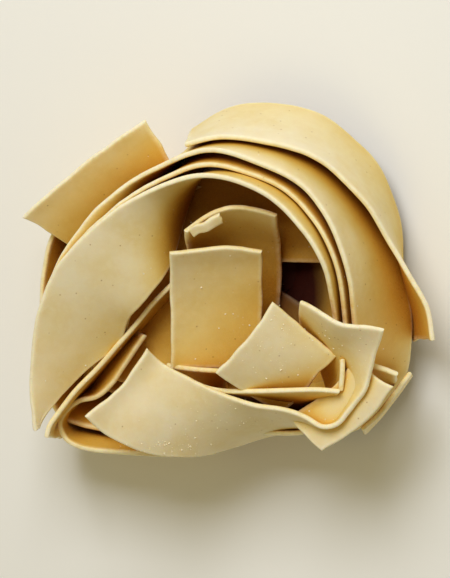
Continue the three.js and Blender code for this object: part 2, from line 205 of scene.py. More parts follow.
# ---- The loose ribbons: u, v, height, lean ----
# station is where across the ribbon the stations lie: 0 on its front edge, 0.5 on its middle line.
# bow is how far the middle stands off the line between the two edges, at even steps along it, and
# crease is the power of its shape: 2, the default, is an arc, and 1 a sharp fold.
# A strip that split along its length has a width of its own.
# start and end are the outlines of the two cut ends: how far the ribbon is cut back, in mm,
# at even steps from its front edge to its back edge.
RIBBONS = {
    "outer_wrap_right": {
        "stations": [
            (-6.8, 30.6, 32, 8),
            (3, 32.3, 31, 20),
            (14.3, 30.6, 30, 28),
            (24.6, 25.6, 28, 28),
            (32.9, 17.7, 26.5, 20),
            (38.6, 8.4, 24.5, 8),
            (42.7, 1, 24.5, -6),
            (46.3, -5.8, 25, -10),
            (47.6, -12.2, 25.5, -9),
        ],
        "start": (0, 0.5, 1, 1.5, 2),
        "end": (0, 0.3, 0.2, 0.5, 0),
    },
    "outer_wrap_left": {
        "stations": [
            (-43.5, 15, 27, -62),
            (-37, 20.6, 28, -62),
            (-26.5, 29.3, 28, -62),
            (-15.5, 36.6, 28, -60),
        ],
        "start": (0, 2.2, 4, 5, 6),
        "end": (0, 0, 0.4, 0.8, 0.6),
    },
    "front_band": {
        "bow": (0.6, 0.2, 0, 0, 0, 0, 0, 0, 0.3, 1.4, 3),
        "crease": 1.25,
        "stations": [
            (-15.2, -14.2, 36.5, -88),
            (-12.6, -16.8, 34.6, -87),
            (-7.6, -19.6, 34.6, -76),
            (-0.7, -22.9, 35.2, -54),
            (7.6, -25.8, 35.6, -32),
            (14.2, -27.8, 35.4, -17),
            (19.5, -29.8, 35.2, -8),
            (23.5, -31.3, 35, -3),
            (26.6, -30.4, 35, 2),
            (28.6, -28, 35, 8),
            (30.4, -25.6, 35, 18),
            (32.4, -22.8, 35, 30),
            (34, -18.6, 35.2, 43),
            (35.2, -14.6, 36, 58),
            (36.9, -9.6, 38, 75),
        ],
        "start": (0, 1.2, 1.7, 1.2, 0),
        "end": (0, 0.2, 0.3, 0.1, 0),
    },
    "upright_front": {
        "station": 0.5,
        "bow": (-0.9, -0.6, -0.3),
        "stations": [
            (0.1, 7.7, 34, 89),
            (0.1, 3.5, 30.5, 88),
            (0.1, -4, 27, 87),
            (0.1, -12, 25, 84),
            (0.1, -19, 24, 80),
        ],
        "start": (0.9, 0.8, 0.1, 0, 0.4),
        "end": (0, 0.3, 0, 0.4, 0),
    },
    "upright_back": {
        "station": 0.5,
        "bow": (-4.2, -3.4, -2, -1, -0.5),
        "stations": [
            (3.2, 13.4, 32, 89),
            (3.7, 10.2, 26.5, 88),
            (4.2, 6.8, 21, 88),
            (4.4, 2, 16, 88),
            (4, -8, 12, 88),
        ],
        "start": (0, 0.3, 0, 0.2, 0),
        "end": (0, 0.3, 0, 0.4, 0),
    },
    "curled_chip": {
        "width": 2.6,
        "stations": [
            (-6.2, 12.3, 34.4, -70),
            (-4.6, 13.3, 35, -74),
            (-3, 13.5, 35.2, -66),
            (-1.2, 14.6, 35, -54),
            (0.8, 15.6, 34.4, -44),
        ],
        "start": (0.3, 0, 0, 0.2, 0.4),
        "end": (0.1, 0.2, 0, 0.2, 0.3),
    },
    "tip_strip": {
        "bow": (-0.8, -1.2, -0.6),
        "stations": [
            (12.5, -3.9, 37.6, -78),
            (15.5, -6.3, 36.2, -73),
            (20.5, -10.6, 34, -66),
            (26.5, -15.6, 31.4, -60),
        ],
        "start": (0, 0.3, 0.6, 0.2, 0),
        "end": (0, 0.4, 0.3, 0.4, 0),
    },
    "edge_strip": {
        "stations": [
            (-4, -22, 33, -14),
            (0.5, -22.9, 34.5, -18),
            (10, -23.2, 35.5, -20),
            (20, -23.6, 35.5, -18),
            (27.4, -23.2, 35, -10),
        ],
        "start": (0, 0.3, 0.6, 0.2, 0),
        "end": (0, 0.4, 0.3, 0.4, 0),
    },
    "under_strip": {
        "width": 12,
        "stations": [
            (-11, -17.6, 28, -20),
            (-4, -18.3, 28.5, -20),
            (3, -18.8, 28.5, -20),
        ],
    },
    "low_strip": {
        "width": 10.5,
        "bow": (-0.6, -1.0, -0.6),
        "stations": [
            (39, -22.4, 32, -78),
            (36.6, -25.6, 32, -80),
            (34, -29, 32, -80),
            (29, -33.2, 32, -80),
            (22.9, -37.3, 32, -80),
        ],
        "start": (0, 0.2, 0.5, 0.3, 0),
        "end": (0.6, 0, -0.4, -1, -1.4),
    },
    "post_strip": {
        "width": 12,
        "stations": [
            (27.8, -16.4, 33.6, -6),
            (27.9, -20, 33.8, -6),
            (27.7, -23.7, 33.6, -6),
        ],
    },
    "bracket_strip": {
        "width": 12,
        "stations": [
            (34, -17.4, 31.5, -16),
            (37.5, -18.6, 31.5, -16),
            (40.3, -19.9, 31, -12),
        ],
    },
    "corner_strip": {
        "width": 12,
        "stations": [
            (42.8, -19.4, 24, 2),
            (40.6, -22.3, 25, 4),
            (38, -25.6, 26, 5),
            (35.6, -28.6, 26, 6),
            (32, -32, 25, 8),
        ],
    },
    "inner_fold_1": {
        "stations": [
            (-38.3, -34.4, 30.5, -8),
            (-37.7, -31.6, 30, -8),
            (-33.4, -26.3, 28, -8),
            (-26.8, -18.9, 26, -8),
            (-20, -11.3, 25.4, -8),
            (-11.7, -2.1, 25.4, -8),
            (-8, 2, 25, -8),
        ],
    },
    "inner_fold_2": {
        "stations": [
            (-16, -11.4, 22, -24),
            (-18, -14.3, 22, -30),
            (-20.4, -18, 22, -34),
            (-23.6, -22, 22.2, -32),
            (-27, -24.8, 22.6, -22),
            (-31, -25.9, 23, -4),
            (-34, -28.3, 23.4, 10),
            (-35.5, -31.6, 23.6, 20),
            (-34.2, -34.8, 23.6, 25),
            (-31, -36.6, 23.4, 26),
            (-25, -37.8, 23, 24),
            (-12, -38.4, 22, 14),
            (0, -37.4, 21.5, 8),
        ],
    },
}
LOOSE_ENDS = (
    "outer_wrap_right",
    "outer_wrap_left",
    "tip_strip",
    "edge_strip",
    "under_strip",
    "low_strip",
    "post_strip",
    "bracket_strip",
    "corner_strip",
)
UPRIGHTS = ("upright_front", "upright_back", "curled_chip")
INNER_FOLDS = ("inner_fold_1", "inner_fold_2")

# The crossed strips at the bottom: x, y, z of the middle line. They lie flat.
BOTTOM_STRIPS = {
    "bottom_strip_1": [(-30, -12, 1.6), (-6, -14, 0.9), (22, -11, 1.8)],
    "bottom_strip_2": [(-29, 8, 1.4), (0, 11, 0.9), (27, 8, 2.6)],
    "bottom_strip_3": [(-24, -19, 5.4), (0, -1, 4.4), (25, 17, 6.2)],
    "bottom_strip_4": [(-22, 16, 8.6), (2, -1, 7.8), (26, -17, 9.2)],
    "bottom_strip_5": [(-26, -4, 12.4), (-8, -9, 11.2), (6, -10, 12.4)],
    "bottom_strip_6": [(-18, -20, 15.6), (-13, -6, 14.8), (-10, 8, 16.6)],
    "bottom_strip_7": [(-9, 18, 12.5), (10, 18, 12.2), (32, 18, 12.4)],
}

# Where crumbs and flour lie: u, v of the middle of each patch, its reach along u and along v, and
# its share of them.
CRUMB_PATCHES = [
    (13, -13, 7, 4.5, 0.28),
    (6, -30, 9, 3.2, 0.26),
    (-10, -36.5, 4.5, 1.6, 0.22),
    (30, -14, 4, 5, 0.06),
    (-5, -5, 24, 20, 0.18),
]
CRUMB_RADII = (0.11, 0.5)  # most are near the smaller
CRUMB_CORNERS = (0.6, 1.1)  # times the radius, from its nearest to its farthest corner
CRUMB_LIFT = 0.5  # times the radius, from the ribbon to its middle
ICOSAHEDRON_SIDE = 1.1  # longer than its sides, at a radius of 1, and shorter than what is next
ABOVE = 100  # over the nest, towards the eye
CRUMBS_LIE_ON = "ribbon"  # the mark of a piece that crumbs may lie on

# ---- Floor, camera and key light ----
AIM = (2.0, -1.0)  # u, v that the camera looks at
FLOOR_HALF = 1.5
FLOOR_CORNERS = ((-1, -1), (1, -1), (1, 1), (-1, 1))
SENSOR = 36.0  # mm
CLIP = (0.01, 10.0)
KEY_PLACE = (-0.18, 0.41, 0.72)  # from there, to the right, up and towards the eye
KEY_SIZE = 0.4

FACTOR, FIRST, SECOND, MIXED = 0, 6, 7, 2  # the inputs and the output of a mix of colours


# ---- Settings ----
class PastaNestSettings(bpy.types.PropertyGroup):
    """Sizes and colours of the ribbons."""

    ribbon_width: bpy.props.FloatProperty(
        name="Ribbon width",
        description="Width of the rolled and cut ribbon",
        default=20.5 * MM,
        unit="LENGTH",
    )
    ribbon_thickness: bpy.props.FloatProperty(
        name="Ribbon thickness",
        description="Thickness of the dried ribbon",
        default=1.15 * MM,
        unit="LENGTH",
    )
    warp: bpy.props.FloatProperty(
        name="Warp",
        description="How far the ribbon warped as it dried",
        default=0.28 * MM,
        unit="LENGTH",
    )
    raggedness: bpy.props.FloatProperty(
        name="Raggedness",
        description="How far the cut edges wander from a straight cut",
        default=0.07 * MM,
        unit="LENGTH",
    )
    seed: bpy.props.IntProperty(
        name="Seed",
        description="Start of the random numbers for warp, chips and crumbs",
        default=11,
    )
    dough_colour: bpy.props.StringProperty(
        name="Dough",
        description="Colour of the ribbon's dry face, as an sRGB hex value",
        default="#ECE1C4",
    )
    yolk_colour: bpy.props.StringProperty(
        name="Yellower dough",
        description="Colour of the blotches where there is more egg in the dough",
        default="#E6D5A6",
    )
    flour_colour: bpy.props.StringProperty(
        name="Floury dough",
        description="Colour where flour was rolled into the face",
        default="#F0E6C8",
    )
    bran_colour: bpy.props.StringProperty(
        name="Bran",
        description="Colour of the specks of bran",
        default="#9A6A2A",
    )
    edge_colour: bpy.props.StringProperty(
        name="Cut edge",
        description="Colour of the rough cut edges",
        default="#F7EED2",
    )
    crumb_count: bpy.props.IntProperty(
        name="Crumbs",
        description="Number of dough crumbs and flour grains on the nest",
        default=420,
    )


class PastaStageSettings(bpy.types.PropertyGroup):
    """Floor, light and camera."""

    floor_colour: bpy.props.StringProperty(
        name="Floor",
        description="Colour of the floor, as an sRGB hex value",
        default="#F1F2F3",
    )
    key_power: bpy.props.FloatProperty(
        name="Key light",
        description="Power of the large soft light",
        default=5.45,
        unit="POWER",
    )
    fill_strength: bpy.props.FloatProperty(
        name="Fill",
        description="Strength of the even light from all sides",
        default=0.36,
    )
    fill_colour: bpy.props.StringProperty(
        name="Fill colour",
        description="Colour of the even light, as an sRGB hex value",
        default="#FFF0BE",
    )
    view_height: bpy.props.FloatProperty(
        name="View height",
        description="Height of what the camera takes in at the nest",
        default=0.1272,
        unit="LENGTH",
    )
    camera_distance: bpy.props.FloatProperty(
        name="Camera distance",
        description="From the camera to the nest",
        default=1.2,
        unit="LENGTH",
    )


# ---- Frames ----
def turned(axis, angle):
    return np.array(Matrix.Rotation(angle, 3, axis))


EYE_FRAME = turned("Z", TOWARDS) @ turned("Y", TILT) @ turned("Z", -TOWARDS)
WORLD_FRAME = np.eye(3)


def towards_eye(u, v, height):
    """The distance w towards the eye of a point at u, v that stands `height` over the base."""
    sideways = u * math.cos(TOWARDS) + v * math.sin(TOWARDS)
    return (height + math.sin(TILT) * sideways) / math.cos(TILT)


# ---- Curves through stations ----
def smooth_curve(stations, count, closed=False):
    """Rows of numbers on a centripetal Catmull-Rom curve; the first three are the point."""
    points = np.asarray(stations, float)
    if closed:
        points = np.vstack([points[-1], points, points[0], points[1]])
    else:
        first = 2 * points[0] - points[1]
        last = 2 * points[-1] - points[-2]
        points = np.vstack([first, points, last])
    chords = np.linalg.norm(np.diff(points[:, :3], axis=0), axis=1)
    knots = np.concatenate([[0], np.cumsum(np.sqrt(chords))])
    t = np.linspace(knots[1], knots[-2], count)
    span = np.clip(np.searchsorted(knots, t, side="right") - 1, 1, len(knots) - 3)
    k0, k1, k2, k3 = (knots[span + i] for i in (-1, 0, 1, 2))
    p0, p1, p2, p3 = (points[span + i] for i in (-1, 0, 1, 2))

    def mix(a, b, low, high):
        return ((high - t)[:, None] * a + (t - low)[:, None] * b) / (high - low)[:, None]

    a1, a2, a3 = mix(p0, p1, k0, k1), mix(p1, p2, k1, k2), mix(p2, p3, k2, k3)
    return mix(mix(a1, a2, k0, k2), mix(a2, a3, k1, k3), k1, k2)


def lengths_along(rows):
    steps = np.linalg.norm(np.diff(rows[:, :3], axis=0), axis=1)
    return np.concatenate([[0], np.cumsum(steps)])


def rows_at(rows, lengths, wanted):
    return np.stack([np.interp(wanted, lengths, column) for column in rows.T], 1)


def even_rows(rows, step):
    lengths = lengths_along(rows)
    count = int(round(lengths[-1] / step)) + 1
    return rows_at(rows, lengths, np.linspace(0, lengths[-1], count))


def unit(vectors):
    return vectors / (np.linalg.norm(vectors, axis=-1, keepdims=True) + TINY)


def blurred(rows, reach, closed):
    """The rows with each value spread over its neighbours, as stiff dough spreads a bend."""
    half = int(math.ceil(STIFFNESS_REACH * reach))
    weights = np.exp(-0.5 * (np.arange(-half, half + 1) / reach) ** 2)
    weights /= weights.sum()
    if closed:
        padded = np.concatenate([rows[-half:], rows, rows[:half]])
    else:
        padded = np.concatenate([np.repeat(rows[:1], half, 0), rows, np.repeat(rows[-1:], half, 0)])
    return np.stack([np.convolve(column, weights, "valid") for column in padded.T], 1)


def ribbon_frames(rows, closed=False):
    """The directions across the ribbon, from its front to its back edge, and out of its face."""
    points = rows[:, :3]
    if closed:
        along = unit(np.roll(points, -1, 0) - np.roll(points, 1, 0))
    else:
        along = unit(np.gradient(points, axis=0))
    flat = unit(along[:, :2])
    angle = np.radians(rows[:, LEAN])
    leaning = np.stack(
        [-np.sin(angle) * flat[:, 1], np.sin(angle) * flat[:, 0], -np.cos(angle)], 1
    )
    across = unit(blurred(leaning, STIFFNESS / FINE_STEP, closed))
    return across, unit(np.cross(along, across))


class Waves:
    """Smooth noise, a sum of sine waves in all directions: the same value at the same place."""

    def __init__(self, rng, length):
        directions = unit(rng.normal(size=(WAVE_COUNT, 3)))
        lengths = length * rng.uniform(*WAVE_SPREAD, (WAVE_COUNT, 1))
        self.pitch = directions * (2 * math.pi / lengths)
        self.phase = rng.uniform(0, 2 * math.pi, WAVE_COUNT)

    def __call__(self, points):
        angles = points @ self.pitch.T + self.phase
        return np.sin(angles).sum(-1) / math.sqrt(WAVE_COUNT / 2)


# ---- Ribbons ----
def distances_between(length, step):
    """Distances along a length, closer together at both its ends."""
    near = np.array(RIM_STEPS)
    inner = length - 2 * near[-1]
    count = max(FEWEST_STEPS, int(round(inner / step)))
    middle = near[-1] + inner * np.arange(1, count) / count
    return np.concatenate([near, middle, (length - near)[::-1]])


def rounded(distance, radius):
    """Share of the full thickness at a distance from a cut, which drying has rounded off."""
    inside = np.clip(distance / radius, 0, 1)
    inwards, upwards = EDGE_BLUNTNESS
    return (1 - (1 - inside) ** inwards) ** (1 / upwards)


def profile(values, x, length):
    """Smooth values at x, from values that stand at even steps from 0 to the length."""
    knots = np.linspace(0, length, len(values))
    if len(values) < 3:
        return np.interp(x, knots, values)
    flat = 0 * knots
    fine = smooth_curve(np.stack([knots, flat, flat, values], 1), PROFILE_ROWS)
    return np.interp(x, fine[:, 0], fine[:, -1])


class Ribbon:
    """One length of ribbon: its line, and the surface that its faces stand off."""

    def __init__(self, name, rows, across, out, into_world, *, width=None, station=0.0,
                 bow=(0, 0), crease=2.0, slant=0.0, offset=0.0, fan=0.0,
                 start=(0, 0.3, 0, 0.3, 0), end=(0, 0.2, 0.1, 0.3, 0)):
        self.name = name
        self.rows, self.across, self.out = rows, across, out
        self.into_world = into_world
        self.width, self.station, self.bow, self.crease = width, station, bow, crease
        self.slant = slant
        self.offset = np.broadcast_to(offset, len(rows))
        self.fan = np.broadcast_to(fan, len(rows))
        self.start, self.end = start, end

    def grid(self, width, settings, warp):
        """Points of the ribbon's middle surface, in world mm, and their distances to a cut."""
        lengths = lengths_along(self.rows)
        total = lengths[-1]
        s = distances_between(total, ROW_STEP)
        x = distances_between(width, COLUMN_STEP)
        line = rows_at(self.rows[:, :3], lengths, s)
        across = unit(rows_at(self.across, lengths, s))
        out = unit(rows_at(self.out, lengths, s))
        offset = np.interp(s, lengths, self.offset)
        fan = np.interp(s, lengths, self.fan)
        along = unit(np.gradient(line, axis=0))
        share = x / width
        widths = width * np.clip((s + POINT) / (self.slant + POINT), 0, 1)[:, None]
        from_front, from_back = widths * share, widths * (1 - share)
        arch = profile(self.bow, s, total)[:, None] * (1 - np.abs(2 * share - 1) ** self.crease)
        points = (
            line[:, None]
            + across[:, None] * (from_front - widths * self.station)[:, :, None]
            + out[:, None] * (offset[:, None] + fan[:, None] * share + arch)[:, :, None]
        )
        points = points @ self.into_world.T
        across, out, along = (v @ self.into_world.T for v in (across, out, along))

        # The cut edges wander, and the cut ends have the outlines that they were broken to.
        for side, sign, near in ((0, 1, from_front), (-1, -1, from_back)):
            wander = warp["edge"](points[:, side]) + SIDE_NICKS * warp["nick"](points[:, side])
            inward = settings["raggedness"] * wander[:, None] * np.exp(-near / EDGE_REACH)
            points += sign * inward[:, :, None] * across[:, None]
        for side, sign, cut in ((0, 1, self.start), (-1, -1, self.end)):
            near = s if side == 0 else total - s
            back = profile(cut, x, width)
            for wave, size in END_WANDER.items():
                back = back + size * warp[wave](points[side])
            pulled = np.exp(-near / END_REACH)[:, None] * back
            points += sign * pulled[:, :, None] * along[:, None]

        # Drying warps the faces, most of all near the edges.
        edge_share = np.abs(2 * share - 1) ** FLUTTER_POWER
        face = WARP_SHARES["face"] * warp["face"](points)
        flutter = WARP_SHARES["flutter"] * edge_share * warp["flutter"](points)
        points += (settings["warp"] * (face + flutter))[:, :, None] * out[:, None]
        to_end = np.minimum(s, total - s)[:, None]
        return points, np.minimum(np.minimum(from_front, from_back), to_end)


def faces_between(count, columns):
    i, j = np.meshgrid(np.arange(count - 1), np.arange(columns - 1), indexing="ij")
    a = (i * columns + j).ravel()
    return np.stack([a, a + 1, a + columns + 1, a + columns], 1)


def ribbon_mesh(ribbon, settings, warp):
    """A closed mesh of the ribbon: two faces that meet in rounded edges all round."""
    width, thickness = ribbon.width or settings["width"], settings["thickness"]
    points, to_cut = ribbon.grid(width, settings, warp)
    rows, columns, _ = points.shape
    along = np.gradient(points, axis=0)
    across = np.gradient(points, axis=1)
    normals = unit(np.cross(along, across))
    stand = 0.5 * thickness * rounded(to_cut, EDGE_RADIUS)
    upper = points + normals * stand[..., None]
    lower = points - normals * stand[..., None]
    rim = np.ones((rows, columns), bool)
    rim[1:-1, 1:-1] = False
    index = np.arange(rows * columns).reshape(rows, columns)
    lower_index = index.copy()
    lower_index[~rim] = rows * columns + np.arange((~rim).sum())
    vertices = np.concatenate([upper.reshape(-1, 3), lower[~rim]])
    quads = faces_between(rows, columns)
    under = lower_index.ravel()[quads][:, ::-1]
    vertices[:, 2] = np.maximum(vertices[:, 2], 0)
    to_cuts = np.concatenate([to_cut.ravel(), to_cut[~rim]])
    mesh = bpy.data.meshes.new(ribbon.name)
    centred = (vertices - np.array(NEST_CENTRE)) * MM
    mesh.from_pydata(centred.tolist(), [], np.concatenate([quads, under]).tolist())
    mesh.polygons.foreach_set("use_smooth", [True] * len(mesh.polygons))
    attribute = mesh.attributes.new("to_cut_mm", "FLOAT", "POINT")
    attribute.data.foreach_set("value", to_cuts.astype(np.float32))
    mesh.update()
    return mesh


def add_object(context, name, data):
    thing = bpy.data.objects.new(name, data)
    context.scene.collection.objects.link(thing)
    return thing


def add_ribbon(context, ribbon):
    nest = context.scene.pasta_nest
    settings = {
        "width": nest.ribbon_width / MM,
        "thickness": nest.ribbon_thickness / MM,
        "warp": nest.warp / MM,
        "raggedness": nest.raggedness / MM,
    }
    rng = np.random.default_rng(nest.seed)
    warp = {wave: Waves(rng, length) for wave, length in WAVE_LENGTHS.items()}
    mesh = ribbon_mesh(ribbon, settings, warp)
    mesh.materials.append(dried_egg_dough(nest))
    piece = add_object(context, ribbon.name, mesh)
    piece[CRUMBS_LIE_ON] = True
    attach(piece, "root")
    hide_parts(NODE)


def loose_ribbon(name):
    facts = dict(RIBBONS[name])
    stations = [
        (u, v, towards_eye(u, v, height), lean) for u, v, height, lean in facts.pop("stations")
    ]
    rows = even_rows(smooth_curve(stations, CURVE_STEPS * len(stations)), FINE_STEP)
    return Ribbon(name, rows, *ribbon_frames(rows), EYE_FRAME, **facts)


class Turn:
    """A closed turn, worked out once, from which each turn of a coil is offset."""

    def __init__(self, stations):
        self.rows = even_rows(smooth_curve(stations, TURN_ROWS, closed=True), FINE_STEP)[:-1]
        self.across, self.out = ribbon_frames(self.rows, closed=True)

    def nearest(self, u, v):
        away = np.hypot(self.rows[:, 0] - u, self.rows[:, 1] - v)
        return int(np.argmin(away)) / len(self.rows)

    def at(self, shares):
        """The rows and directions at these shares of the turn, which may pass 1 or be negative."""
        count = len(self.rows)
        place = (shares % 1.0) * count
        low = np.floor(place).astype(int) % count
        part = (place - np.floor(place))[:, None]

        def mixed(values):
            return values[low] * (1 - part) + values[(low + 1) % count] * part

        return mixed(self.rows), unit(mixed(self.across)), unit(mixed(self.out))

    def shares(self, start, end):
        count = int(round((end - start) * len(self.rows)))
        return np.linspace(start, end, count)


def upper_turn():
    return Turn(
        [
            (u, v, towards_eye(u, v, RIM_HEIGHT - below), *rest)
            for u, v, below, *rest in UPPER_TURN
        ]
    )


def upper_ribbon(turn, name, ribbon_width):
    """One turn of the upper coil."""
    facts = UPPER_RIBBONS[name]
    layer = facts["layer"]
    shares = turn.shares(*(turn.nearest(*end) for end in facts["ends"]))
    rows, across, out = turn.at(shares)
    first_gap, second_gap, *fans = rows[:, LEAN + 1 :].T
    offset = min(layer, 1) * first_gap + max(layer - 1, 0) * second_gap
    start, end, spread = LAST_STRETCH
    offset = offset + spread * np.clip((shares - start) / (end - start), 0, 1)

    def between(points):
        places, amounts = zip(*points)
        return np.interp(shares, [turn.nearest(*place) for place in places], amounts)

    fan = fans[layer - 1] if layer else between(facts["fan"])
    fanned = ribbon_width * np.sin(np.radians(fan))
    rows[:, :3] += between(facts["slides"])[:, None] * across
    return Ribbon(
        name, rows, across, out, EYE_FRAME, offset=offset, fan=fanned, slant=facts["slant"]
    )


def lower_ribbon(name, ribbon_width):
    """The turns of one of the lower coils, whose lower edge is on the base."""
    size, start, turns, lean_in = LOWER_COILS[name]
    middle_x, middle_y = LOWER_MIDDLE
    stations = []
    for x, y, lean in LOWER_TURN:
        height = ribbon_width * math.cos(math.radians(lean + lean_in)) + LOWER_LIFT
        x = middle_x + size * (x - middle_x)
        y = middle_y + size * (y - middle_y)
        stations.append((x, y, height, lean + lean_in))
    turn = Turn(stations)
    shares = turn.shares(start, start + turns)
    rows, across, out = turn.at(shares)
    offset = -LOWER_GAP * (shares - shares[0]) - LOWER_INSET
    return Ribbon(name, rows, across, out, WORLD_FRAME, offset=offset)


def bottom_ribbon(name):
    stations = [(x, y, z, 90) for x, y, z in BOTTOM_STRIPS[name]]
    rows = even_rows(smooth_curve(stations, BOTTOM_ROWS), FINE_STEP)
    return Ribbon(name, rows, *ribbon_frames(rows), WORLD_FRAME, station=0.5)


def icosahedron():
    """Corners, one unit from the middle, and triangles of a regular solid with 20 sides."""
    golden = (1 + math.sqrt(5)) / 2
    corners = []
    for a in (-1, 1):
        for b in (-golden, golden):
            corners += [(a, b, 0), (0, a, b), (b, 0, a)]
    corners = unit(np.array(corners, float))
    near = np.linalg.norm(corners[:, None] - corners[None], axis=2) < ICOSAHEDRON_SIDE
    sides = []
    for i, j, k in itertools.combinations(range(len(corners)), 3):
        if near[i, j] and near[j, k] and near[i, k]:
            outward = np.cross(corners[j] - corners[i], corners[k] - corners[i])
            sides.append((i, j, k) if outward @ corners[i] > 0 else (i, k, j))
    return corners, np.array(sides)


# ---- Materials ----
def linear(hex_colour):
    """An sRGB hex colour as linear red, green and blue."""
    parts = [int(hex_colour[i : i + 2], 16) / 255 for i in (1, 3, 5)]
    return tuple(c / 12.92 if c <= 0.04045 else ((c + 0.055) / 1.055) ** 2.4 for c in parts) + (1,)


def add(tree, kind, values=(), output=0, stops=()):
    """Adds a node and returns one of its outputs. A value is that of a property or an input, or
    the output that feeds the input; a key is its name, or the number of an input. Stops are a
    ramp's positions with their colours or greys.
    """
    node = tree.nodes.new(kind)
    for key, value in dict(values).items():
        if isinstance(value, bpy.types.NodeSocket):
            tree.links.new(value, node.inputs[key])
        elif isinstance(key, str) and hasattr(node, key):
            setattr(node, key, value)
        else:
            node.inputs[key].default_value = value
    for position, _ in stops[2:]:
        node.color_ramp.elements.new(position)
    for number, (position, colour) in enumerate(stops):
        element = node.color_ramp.elements[number]
        element.position = position
        element.color = linear(colour) if isinstance(colour, str) else (colour,) * 3 + (1,)
    return node.outputs[output] if node.outputs else None


def new_material(name):
    material = bpy.data.materials.new(name)
    material.use_nodes = True
    material.node_tree.nodes.clear()
    return material, material.node_tree


def per_metre(size_mm):
    """The scale of a pattern whose cells are this size."""
    return 1 / (size_mm * MM)


def dried_egg_dough(nest):
    """Egg and durum dough, rolled, cut and air-dried: matt, a little translucent, with cut edges
    paler as rough, dusty dough and as a painted highlight, and painted shade in deep gold where
    ribbons close the light off.
    """
    name = "dried_egg_dough"
    found = bpy.data.materials.get(name)
    if found:
        return found
    material, tree = new_material(name)
    place = add(tree, "ShaderNodeTexCoord", output="Object")
    to_cut = add(tree, "ShaderNodeAttribute", {"attribute_name": "to_cut_mm"}, "Fac")

    # Blotches of yellower dough, about 9 mm across.
    blotches = add(
        tree,
        "ShaderNodeTexNoise",
        {"Vector": place, "Scale": per_metre(9.0), "Detail": 3.0, "Roughness": 0.55},
    )
    yellower = add(tree, "ShaderNodeValToRGB", {0: blotches}, stops=[(0.35, 0.0), (0.7, 1.0)])
    # A paler mottling of 1.6 mm, where flour was rolled in.
    mottling = add(
        tree,
        "ShaderNodeTexNoise",
        {"Vector": place, "Scale": per_metre(1.6), "Detail": 3.0, "Roughness": 0.6},
    )
    floury = add(tree, "ShaderNodeValToRGB", {0: mottling}, stops=[(0.45, 0.0), (0.75, 0.45)])
    # Specks of bran, about 0.3 mm across and 2.6 mm apart.
    bran = add(tree, "ShaderNodeTexVoronoi", {"Vector": place, "Scale": per_metre(2.6)})
    specks = add(tree, "ShaderNodeValToRGB", {0: bran}, stops=[(0.05, 0.5), (0.09, 0.0)])
    # The cut edges are paler over the last 1.2 mm, broken up in a mottle: partly the rough, dusty
    # cut dough and partly a painted highlight where the edges catch the light.
    near_edge = add(
        tree, "ShaderNodeMath", {"operation": "MULTIPLY_ADD", 0: to_cut, 1: -1 / 1.2, 2: 1.0}
    )
    torn = add(tree, "ShaderNodeValToRGB", {0: mottling}, stops=[(0.3, 0.4), (0.6, 1.0)])
    pale_edge_and_highlight = add(
        tree,
        "ShaderNodeMath",
        {"operation": "MULTIPLY", "use_clamp": True, 0: near_edge, 1: torn},
    )
    face = linear(nest.dough_colour)
    # The last of these mixes paints the cut edges paler: their rough, dusty dough and a painted
    # highlight.
    for share, colour in (
        (yellower, nest.yolk_colour),
        (floury, nest.flour_colour),
        (specks, nest.bran_colour),
        (pale_edge_and_highlight, nest.edge_colour),
    ):
        face = add(
            tree,
            "ShaderNodeMix",
            {"data_type": "RGBA", FACTOR: share, FIRST: face, SECOND: linear(colour)},
            MIXED,
        )
    # Painted shade: deep gold where the ribbons close the light off within about 32 mm, deeper and
    # darker the more closed off a place is.
    open_sky = add(
        tree, "ShaderNodeAmbientOcclusion", {"samples": 8, "Distance": 32 * MM}, "AO"
    )
    painted_shade_gold = add(
        tree,
        "ShaderNodeValToRGB",
        {0: open_sky},
        stops=[
            (0.02, "#763A04"),
            (0.13, "#CE8C1C"),
            (0.3, "#F6CA54"),
            (0.55, "#FFE892"),
            (0.8, "#FFF6CE"),
            (1.0, "#FFFFFF"),
        ],
    )
    # Painted highlight: the painted shade is weaker on the pale cut edges, as if they caught the
    # light.
    painted_shade_share = add(
        tree, "ShaderNodeMath", {"operation": "MULTIPLY_ADD", 0: pale_edge_and_highlight, 1: -0.55, 2: 1.0}
    )
    colour = add(
        tree,
        "ShaderNodeMix",
        {
            "data_type": "RGBA",
            "blend_type": "MULTIPLY",
            FACTOR: painted_shade_share,
            FIRST: face,
            SECOND: painted_shade_gold,
        },
        MIXED,
    )
    # Painted shade: at the bottom of the hollow, less than about 10 mm above the base and near the
    # middle, the colour is painted nearly black, as hardly any light is left there.
    height_up = add(tree, "ShaderNodeSeparateXYZ", {0: place}, "Z")
    low = add(tree, "ShaderNodeValToRGB", {0: height_up}, stops=[(0.009, 1.0), (0.0115, 0.0)])
    away = add(tree, "ShaderNodeVectorMath", {"operation": "LENGTH", 0: place}, "Value")
    central = add(tree, "ShaderNodeValToRGB", {0: away}, stops=[(0.02, 1.0), (0.026, 0.0)])
    painted_deep_shade = add(tree, "ShaderNodeMath", {"operation": "MULTIPLY", 0: low, 1: central})
    colour = add(
        tree,
        "ShaderNodeMix",
        {"data_type": "RGBA", FACTOR: painted_deep_shade, FIRST: colour, SECOND: linear("#3C0E02")},
        MIXED,
    )

    # Fine grain of the rolled dough, 0.35 mm, over slow unevenness of 3 mm.
    grain = add(
        tree, "ShaderNodeTexNoise", {"Vector": place, "Scale": per_metre(0.35), "Roughness": 0.6}
    )
    uneven = add(tree, "ShaderNodeTexNoise", {"Vector": place, "Scale": per_metre(3.0)})
    height = add(
        tree, "ShaderNodeMath", {"operation": "MULTIPLY_ADD", 0: grain, 1: 0.35, 2: uneven}
    )
    bump = add(
        tree, "ShaderNodeBump", {"Strength": 0.35, "Distance": 0.12 * MM, "Height": height}
    )
